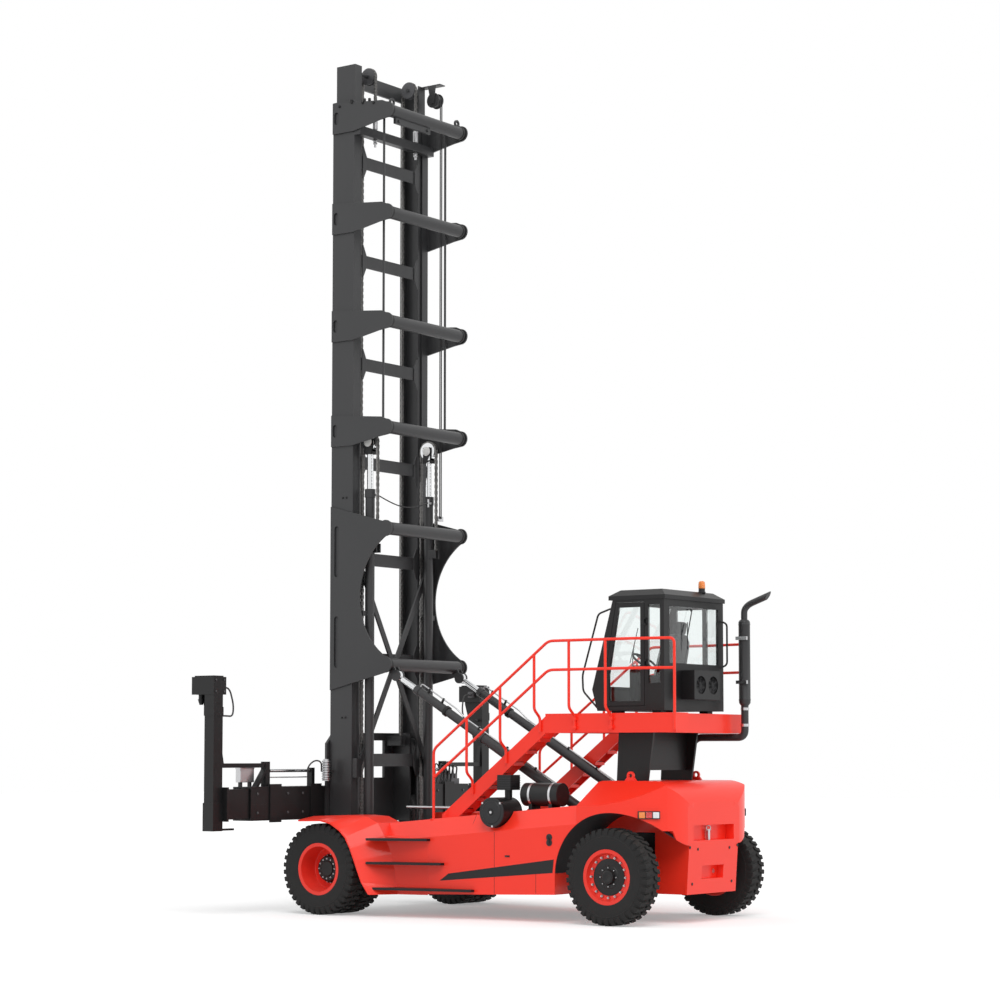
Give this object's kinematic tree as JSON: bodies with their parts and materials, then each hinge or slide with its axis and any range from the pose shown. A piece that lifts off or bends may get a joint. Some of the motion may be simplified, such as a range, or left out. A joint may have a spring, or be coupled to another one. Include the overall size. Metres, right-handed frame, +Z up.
{
  "type": "empty container handler",
  "caption": "Heavy lift truck with a tall two-stage mast and a telescoping side-lift spreader for empty containers, raised cab and twin drive wheels.",
  "frame": {"origin": "middle of the machine's box, on the ground", "axes": "+X forward, the way the spreader faces; +Y to the driver's left; +Z up"},
  "size_m": [7.412, 6.984, 13.3523],
  "materials": {
    "red_paint": "gloss paint",
    "charcoal_paint": "satin paint",
    "black_paint": "satin paint",
    "rim_paint": "gloss paint",
    "cast_metal": "cast",
    "chrome": "polished",
    "chain_steel": "oiled",
    "tyre_rubber": "matt",
    "glass": "clear",
    "seat_fabric": "woven",
    "moulded_plastic": "moulded",
    "lamp_plastic": "clear moulded"
  },
  "bodies": {
    "chassis": {"chassis_frame": "black_paint", "side_bodies": "red_paint", "front_fenders": "red_paint", "access_steps": "black_paint", "deck_plate": "black_paint", "engine_block": "cast_metal", "rear_hood": "red_paint", "rear_counterweight": "red_paint", "lifting_eyes": "red_paint", "drive_axle": "black_paint", "steer_axle": "black_paint", "stairs": "red_paint", "platform": "red_paint", "handrails": "red_paint", "cab_pedestal": "black_paint", "cab_base": "charcoal_paint", "cab_frame": "charcoal_paint", "cab_glass": "glass", "cab_roof": "charcoal_paint", "operator_seat": "seat_fabric", "steering_console": "moulded_plastic", "condenser_box": "black_paint", "exhaust_stack": "black_paint", "air_cleaner": "black_paint", "oil_tank": "black_paint", "lamps": "lamp_plastic"},
    "mast_outer": {"mast_uprights": "charcoal_paint", "mast_side_plates": "charcoal_paint", "mast_cross_tubes": "charcoal_paint", "lift_barrels": "charcoal_paint"},
    "mast_inner": {"inner_mast": "charcoal_paint", "top_sheaves": "cast_metal", "carriage_chains": "chain_steel"},
    "carriage": {"carriage_frame": "charcoal_paint", "spreader_main_beam": "charcoal_paint"},
    "lift_rod_pair": {"lift_rods": "chrome", "lift_chains": "chain_steel"},
    "spreader_left": {"telescopic_beam_left": "charcoal_paint"},
    "spreader_right": {"telescopic_beam_right": "charcoal_paint"},
    "tilt_barrel_pair": {"tilt_barrels": "charcoal_paint"},
    "tilt_rod_pair": {"tilt_rods": "chrome"},
    "steering_left": {"knuckle_left": "black_paint"},
    "steering_right": {"knuckle_right": "black_paint"},
    "wheel_front_left": {"tyre_front_left": "tyre_rubber", "rim_front_left": "rim_paint"},
    "wheel_front_right": {"tyre_front_right": "tyre_rubber", "rim_front_right": "rim_paint"},
    "wheel_rear_left": {"tyre_rear_left": "tyre_rubber", "rim_rear_left": "rim_paint"},
    "wheel_rear_right": {"tyre_rear_right": "tyre_rubber", "rim_rear_right": "rim_paint"},
    "cab_door": {"door_frame": "charcoal_paint", "door_glass": "glass"}
  },
  "joints": [
    {"name": "mast_tilt", "type": "hinge", "parent": "chassis", "child": "mast_outer", "pos_m": [2.544, 0, 1], "axis": [0, 1, 0], "range_deg": [-3, 3]},
    {"name": "mast_lift", "type": "slide", "parent": "mast_outer", "child": "mast_inner", "axis": [0, 0, 1], "range_m": [-0.55, 8.8]},
    {"name": "carriage_lift", "type": "slide", "parent": "mast_inner", "child": "carriage", "axis": [0, 0, 1], "range_m": [-0.55, 8.8]},
    {"name": "lift_rod_slide", "type": "slide", "parent": "mast_outer", "child": "lift_rod_pair", "axis": [0, 0, 1], "range_m": [-0.275, 4.4]},
    {"name": "telescope_left", "type": "slide", "parent": "carriage", "child": "spreader_left", "axis": [0, 1, 0], "range_m": [-0.45, 2.61]},
    {"name": "telescope_right", "type": "slide", "parent": "carriage", "child": "spreader_right", "axis": [0, -1, 0], "range_m": [-0.45, 2.61]},
    {"name": "tilt_barrel_pivot", "type": "hinge", "parent": "chassis", "child": "tilt_barrel_pair", "pos_m": [-1.606, 0, 1.56], "axis": [0, 1, 0], "range_deg": [-0.61, 0.61]},
    {"name": "tilt_rod_slide", "type": "slide", "parent": "tilt_barrel_pair", "child": "tilt_rod_pair", "axis": [0.8612, 0, 0.5083], "range_m": [-0.1377, 0.1377]},
    {"name": "steer_left", "type": "hinge", "parent": "chassis", "child": "steering_left", "pos_m": [-2.482, 1.15, 0.685], "axis": [0, 0, 1], "range_deg": [-45, 45]},
    {"name": "steer_right", "type": "hinge", "parent": "chassis", "child": "steering_right", "pos_m": [-2.482, -1.15, 0.685], "axis": [0, 0, 1], "range_deg": [-45, 45]},
    {"name": "door_swing", "type": "hinge", "parent": "chassis", "child": "cab_door", "pos_m": [-2.62, 0.843, 3.35], "axis": [0, 0, 1], "range_deg": [0, 47]},
    {"name": "roll_front_left", "type": "hinge", "parent": "chassis", "child": "wheel_front_left", "pos_m": [2.444, 1.645, 0.685], "axis": [0, 1, 0], "continuous": true},
    {"name": "roll_front_right", "type": "hinge", "parent": "chassis", "child": "wheel_front_right", "pos_m": [2.444, -1.645, 0.685], "axis": [0, 1, 0], "continuous": true},
    {"name": "roll_rear_left", "type": "hinge", "parent": "steering_left", "child": "wheel_rear_left", "pos_m": [-2.482, 1.46, 0.685], "axis": [0, 1, 0], "continuous": true},
    {"name": "roll_rear_right", "type": "hinge", "parent": "steering_right", "child": "wheel_rear_right", "pos_m": [-2.482, -1.46, 0.685], "axis": [0, 1, 0], "continuous": true}
  ],
  "couplings": [
    {"joint": "carriage_lift", "follows": "mast_lift", "ratio": 1},
    {"joint": "lift_rod_slide", "follows": "mast_lift", "ratio": 0.5},
    {"joint": "telescope_right", "follows": "telescope_left", "ratio": 1},
    {"joint": "tilt_barrel_pivot", "follows": "mast_tilt", "ratio": 0.18837},
    {"joint": "tilt_rod_slide", "follows": "mast_tilt", "m_per_rad": 2.5918},
    {"joint": "steer_right", "follows": "steer_left", "ratio": 1}
  ]
}
